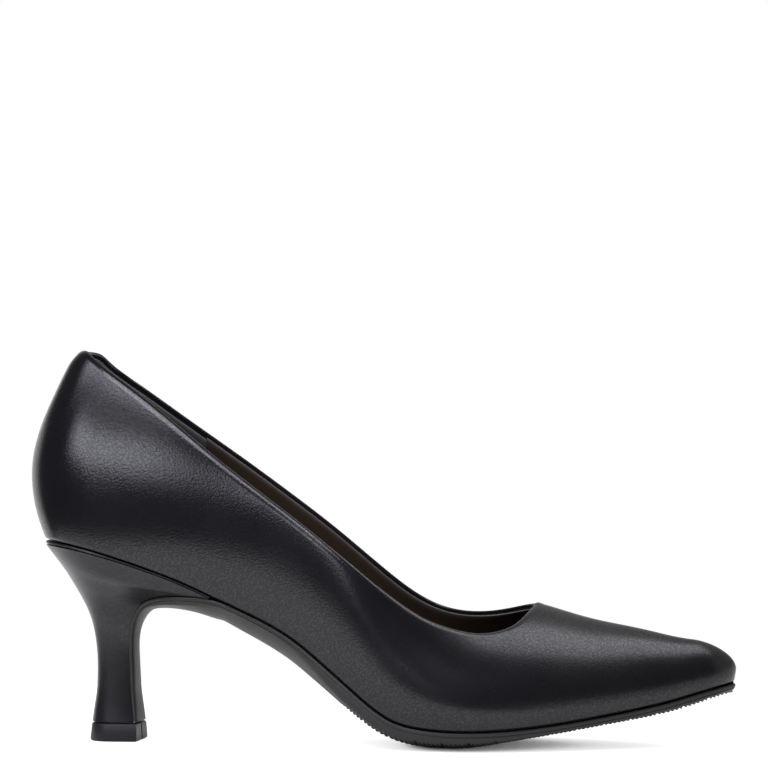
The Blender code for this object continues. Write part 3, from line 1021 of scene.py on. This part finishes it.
# Heel: satin black block, hollowed at the back and drawn in to a slim stem
heel = {
    "widest": 0.45,         # where along a section it is widest
    "close": 0.25,          # its breast stands this much nearer the flap
    "inset": 0.1,           # its top edge lies this far inside the feather edge
    "stations": 48,
    "rows": 110,
    "grain": {"Cells": 1500.0, "Pores": 0.5},
    "finish": {"dark": (0.0056, 0.0053, 0.0066), "light": (0.0078, 0.0075, 0.009), "rough": (0.26, 0.32),
               "bump": 0.02, "specular": 0.4, "polish": (0.5, 0.8, 0.6)},
}
heelShares = spaced(0, 1, heel["stations"], "start")


# One level of heel or lift: lateral and medial points from the back to the breast
def heelLevel(back, front, wide, frontHalf):
    widest = heel["widest"]
    rear = wide * rounded(heelShares, widest)
    ease = np.maximum(0, heelShares - widest) / (1 - widest)
    half = np.where(heelShares < widest, rear, wide + (frontHalf - wide) * ease * ease)
    middle = np.array(back) + (np.array(front) - np.array(back)) * heelShares[:, None]
    side = np.stack((0 * half, half, 0 * half), -1)
    return np.stack((middle - side, middle + side))


def makeHeel():
    stations = heelShares * last["wingEnd"]
    levels = [featherSides(stations, -heel["inset"], lambda x: randHeight(x, 1) - last["gap"])]
    for row in heelRows[1:]:
        size = dict(zip(heelColumns, row))
        back = (size["backX"], 0, size["backZ"])
        front = (size["frontX"] + heel["close"], 0, size["frontZ"] - heel["close"])
        levels.append(heelLevel(back, front, size["wide"], size["frontHalf"]))
    levels = np.array(levels)
    steps = np.linalg.norm(np.diff(levels, axis=0), axis=-1).mean(axis=(1, 2))
    place = np.concatenate(((0,), np.cumsum(steps)))
    smooth = naturalSpline(place, levels)(np.linspace(0, place[-1], heel["rows"]))
    work = newWork()
    ids = addLoft(work, np.concatenate((smooth[:, 0], smooth[:, 1, :0:-1]), axis=1))
    half = heel["stations"] + 1
    for ring in (ids[0], ids[-1]):
        addQuads(work, ring[:half], np.concatenate((ring[:1], ring[:half - 1:-1])))
    material = makeFinish("heelSatin", grainGroup, heel["grain"], heel["finish"])[0]
    return addPiece("heel_block", work, material, "heel", sharp=50)


makeHeel()


# Top lift: the hard tip that stands on the floor, with a slot down its front face
lift = {
    "slotHalf": 0.5,
    "slotEdge": 1.6,        # its sides end at so many half widths
    "slotDeep": 0.7,
    "frontSteps": 24,
    "grain": {"Fineness": 1800.0},
    "finish": {"dark": (0.009, 0.009, 0.0105), "light": (0.013, 0.013, 0.0145), "rough": (0.4, 0.48),
               "bump": 0.01, "specular": 0.28},
}

# Its levels from the top down; inset breaks the edges
liftColumns = ("z", "backX", "frontX", "frontHalf", "wide", "inset")
liftRows = (
    (6.40, 22.7, 40.3, 8.6, 8.9, 0.60),
    (6.15, 22.7, 40.3, 8.6, 8.9, 0.20),
    (5.80, 22.65, 40.3, 8.6, 8.9, 0.0),
    (3.20, 22.4, 40.45, 8.9, 9.2, 0.0),
    (0.75, 22.1, 40.6, 9.2, 9.5, 0.0),
    (0.30, 22.1, 40.6, 9.2, 9.5, 0.15),
    (0.0, 22.1, 40.6, 9.2, 9.5, 0.6),
)


def makeLift():
    shares = np.linspace(-1, 1, lift["frontSteps"] + 1)[1:-1]
    slotHalf = lift["slotHalf"]
    rings = []
    for row in liftRows:
        size = dict(zip(liftColumns, row))
        inset = size["inset"]
        back = (size["backX"] + inset, 0, size["z"])
        front = (size["frontX"] - inset, 0, size["z"])
        level = heelLevel(back, front, size["wide"] - inset, size["frontHalf"] - inset)
        across = shares * (size["frontHalf"] - inset)
        deep = lift["slotDeep"] * smoothStep((lift["slotEdge"] * slotHalf - np.abs(across)) / slotHalf)
        face = np.stack((front[0] - deep, across, size["z"] + 0 * across), -1)
        rings.append(np.concatenate((level[0], face, level[1, :0:-1])))
    work = newWork()
    addLoft(work, np.array(rings), capStart=True, capEnd=True)
    material = makeFinish("liftBlack", mattGroup, lift["grain"], lift["finish"])[0]
    return addPiece("lift", work, material, "top_lift", sharp=40)


makeLift()


# Floor and light: a glowing white floor, and a room that is pale behind the shoe and dark in front
stage = {
    "floorRadius": 0.33,
    "floorSides": 96,
    "floorColour": (0.5, 0.5, 0.5),
    "floorRough": 0.6,
    "floorGlow": 0.95,
    "shadowReach": 0.09,    # how far off the shoe the floor darkens
    "shadowSamples": 32,
    "shadowStart": 0.012,   # openness up to which the floor is black
    "shadowEnd": 0.07,      # openness from which on it is nearly white
    "shadowTone": 0.74,     # its brightness there
    "openEnd": 0.3,         # openness from which on it is white
    "backRight": (0.65, 0.75, 0.0),     # direction in which the room turns pale
    "card": 0.95,           # the low white card behind and to the right
    "cardEdge": (-0.34, -0.10),         # where it starts in that direction
    "cardTop": (0.12, 0.28),            # and where it gives way to the room above
    "behind": 0.40,         # the room above it
    "behindEdge": (-0.05, 0.45),
    "front": 0.05,          # the dark room on the camera's side
}

# Lamps: a strip and a softbox on the left, each inside a fainter one that softens its edge, and two small
# softboxes above the near topline and above the toe
coolWhite = (0.89, 0.89, 1.0)
toeWhite = (0.92, 0.92, 1.0)
heelAim = (-0.085, -0.027, 0.10)
lightColumns = ("name", "place", "aim", "size", "turn", "radiance", "colour")
lightRows = (
    ("stripLeft", (-0.313, -0.453, 0.241), heelAim, (0.32, 0.092), -9, 4.0, coolWhite),
    ("stripLeftEdge", (-0.338, -0.437, 0.245), heelAim, (0.45, 0.110), -9, 2.6, coolWhite),
    ("softboxLeft", (-0.345, -0.385, 0.526), heelAim, (0.60, 0.235), -4, 3.0, coolWhite),
    ("softboxLeftEdge", (-0.375, -0.364, 0.528), heelAim, (0.78, 0.26), -4, 2.0, coolWhite),
    ("softboxNear", (-0.045, -0.179, 0.284), (-0.06, -0.03, 0.10), (0.14, 0.135), 0, 7.0, coolWhite),
    ("softboxTop", (0.123, 0.028, 0.27), (0.062, -0.005, 0.045), (0.115, 0.15), 0, 3.2, toeWhite),
)


def addFloor():
    build = bmesh.new()
    bmesh.ops.create_circle(build, cap_ends=True, radius=stage["floorRadius"], segments=stage["floorSides"])
    mesh = bpy.data.meshes.new("floor")
    build.to_mesh(mesh)
    build.free()
    floor = addObject("floor", mesh)
    material, tree, shader = newMaterial("floorWhite")
    shader.inputs["Base Color"].default_value = (*stage["floorColour"], 1)
    shader.inputs["Roughness"].default_value = stage["floorRough"]
    shader.inputs["Specular IOR Level"].default_value = 0.0
    # Painted shadow: the floor's glow is darkened by how open it is under and beside the shoe, through a
    # ramp for the camera and directly for everything else
    openness = addNode(tree, "ShaderNodeAmbientOcclusion", {"Distance": stage["shadowReach"]},
                       samples=stage["shadowSamples"]).outputs["AO"]
    tone = stage["shadowTone"]
    under = mapRange(tree, openness, (stage["shadowStart"], stage["shadowEnd"]), (0.0, tone))
    beside = mapRange(tree, openness, (stage["shadowEnd"], stage["openEnd"]), (0.0, 1 - tone))
    bright = addNode(tree, "ShaderNodeMath", {0: under, 1: beside}).outputs["Value"]
    seen = addNode(tree, "ShaderNodeLightPath").outputs["Is Camera Ray"]
    tree.links.new(blend(tree, seen, openness, bright), shader.inputs["Emission Color"])
    shader.inputs["Emission Strength"].default_value = stage["floorGlow"]
    mesh.materials.append(material)


# White to the camera; lighter behind the shoe than in front for everything else
def addWorld():
    world = bpy.data.worlds.new("studio")
    bpy.context.scene.world = world
    world.use_nodes = True
    tree = world.node_tree
    background = tree.nodes["Background"]
    place = addNode(tree, "ShaderNodeTexCoord").outputs["Generated"]
    up = addNode(tree, "ShaderNodeSeparateXYZ", {0: place}).outputs["Z"]
    across = addNode(tree, "ShaderNodeVectorMath", {0: place, 1: stage["backRight"]},
                     operation="DOT_PRODUCT").outputs["Value"]
    soft = {"interpolation_type": "SMOOTHSTEP"}
    low = mapRange(tree, across, stage["cardEdge"], (stage["front"], stage["card"]), **soft)
    high = mapRange(tree, across, stage["behindEdge"], (stage["front"], stage["behind"]), **soft)
    room = blend(tree, mapRange(tree, up, stage["cardTop"], **soft), low, high)
    seen = addNode(tree, "ShaderNodeLightPath").outputs["Is Camera Ray"]
    tree.links.new(blend(tree, seen, room, 1.0), background.inputs["Strength"])
    background.inputs["Color"].default_value = (1, 1, 1, 1)


def addLights():
    for row in lightRows:
        size = dict(zip(lightColumns, row))
        data = bpy.data.lights.new(size["name"], "AREA")
        data.shape = "RECTANGLE"
        data.size, data.size_y = size["size"]
        data.energy = size["radiance"] * math.pi * data.size * data.size_y
        data.color = size["colour"]
        lamp = addObject(size["name"], data)
        lamp.location = size["place"]
        lamp.visible_camera = False
        aim = Vector(size["aim"]) - lamp.location
        turn = Quaternion((0, 0, 1), math.radians(size["turn"]))
        lamp.rotation_euler = (aim.to_track_quat("-Z", "Y") @ turn).to_euler()


addFloor()
addWorld()
addLights()
bpy.context.scene.view_settings.view_transform = "Standard"
print("stage lit with", len(lightRows), "lamps")
